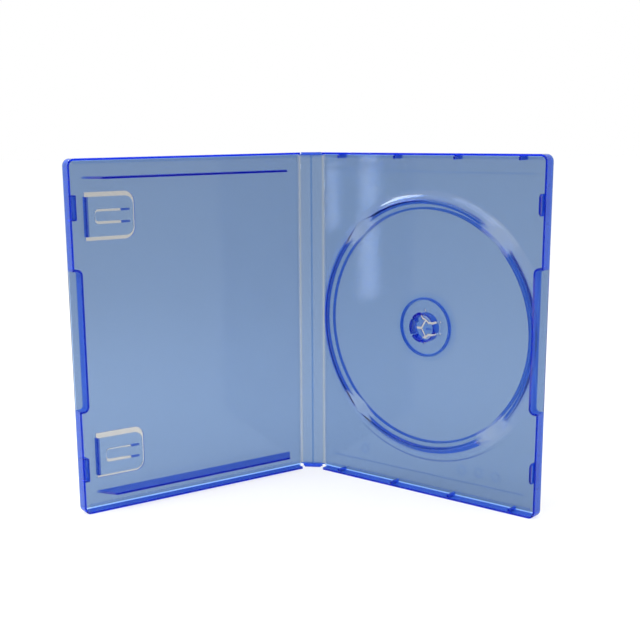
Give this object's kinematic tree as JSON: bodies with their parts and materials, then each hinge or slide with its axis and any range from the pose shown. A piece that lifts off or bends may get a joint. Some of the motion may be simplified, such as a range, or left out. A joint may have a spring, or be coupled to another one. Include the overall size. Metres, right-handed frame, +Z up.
{
  "type": "game disc case",
  "caption": "Folding case for one game disc: ribbed front cover with booklet clips, narrow spine, disc tray with press-release hub, moulded hinges and clear outer sleeve.",
  "frame": {"origin": "middle of the spine's lower end flange, on its underside, which the open case stands on", "axes": "+Z up along the spine, +X across the spine towards the disc tray, +Y out of the back of the spine; the covers fold towards -Y"},
  "size_m": [0.2226, 0.0984, 0.171],
  "materials": {
    "case_plastic": "clear blue, glossy, moulded in one piece",
    "sleeve_film": "clear thin film, glossy"
  },
  "bodies": {
    "spine": {"spine": "case_plastic", "sleeve_spine": "sleeve_film"},
    "front_cover": {"front_cover": "case_plastic", "sleeve_front": "sleeve_film"},
    "disc_tray": {"disc_tray": "case_plastic", "sleeve_back": "sleeve_film"},
    "booklet_clip_upper": {"booklet_clip_upper": "case_plastic"},
    "booklet_clip_lower": {"booklet_clip_lower": "case_plastic"},
    "hub_finger_outer": {"hub_finger_outer": "case_plastic"},
    "hub_finger_upper": {"hub_finger_upper": "case_plastic"},
    "hub_finger_lower": {"hub_finger_lower": "case_plastic"}
  },
  "joints": [
    {"name": "front_hinge", "type": "hinge", "parent": "spine", "child": "front_cover", "pos_m": [-0.0065, 0.00135, 0.0855], "axis": [0, 0, 1], "range_deg": [-44, 46]},
    {"name": "tray_hinge", "type": "hinge", "parent": "spine", "child": "disc_tray", "pos_m": [0.0065, 0.00135, 0.0855], "axis": [0, 0, -1], "range_deg": [-32, 58]},
    {"name": "clip_flex_upper", "type": "hinge", "parent": "front_cover", "child": "booklet_clip_upper", "pos_m": [-0.09414, -0.08676, 0.1438], "axis": [0, 0, 1], "range_deg": [-5, 0], "stiffness_Nm_per_rad": 0.25},
    {"name": "clip_flex_lower", "type": "hinge", "parent": "front_cover", "child": "booklet_clip_lower", "pos_m": [-0.09414, -0.08676, 0.0272], "axis": [0, 0, 1], "range_deg": [-5, 0], "stiffness_Nm_per_rad": 0.25},
    {"name": "finger_flex_outer", "type": "hinge", "parent": "disc_tray", "child": "hub_finger_outer", "pos_m": [0.06893, -0.03848, 0.0855], "axis": [0, 0, -1], "range_deg": [0, 4.5], "stiffness_Nm_per_rad": 0.3},
    {"name": "finger_flex_upper", "type": "hinge", "parent": "disc_tray", "child": "hub_finger_upper", "pos_m": [0.06002, -0.03292, 0.09156], "axis": [0.7344, -0.4589, 0.5], "range_deg": [0, 4.5], "stiffness_Nm_per_rad": 0.3},
    {"name": "finger_flex_lower", "type": "hinge", "parent": "disc_tray", "child": "hub_finger_lower", "pos_m": [0.06002, -0.03292, 0.07944], "axis": [-0.7344, 0.4589, 0.5], "range_deg": [0, 4.5], "stiffness_Nm_per_rad": 0.3}
  ]
}
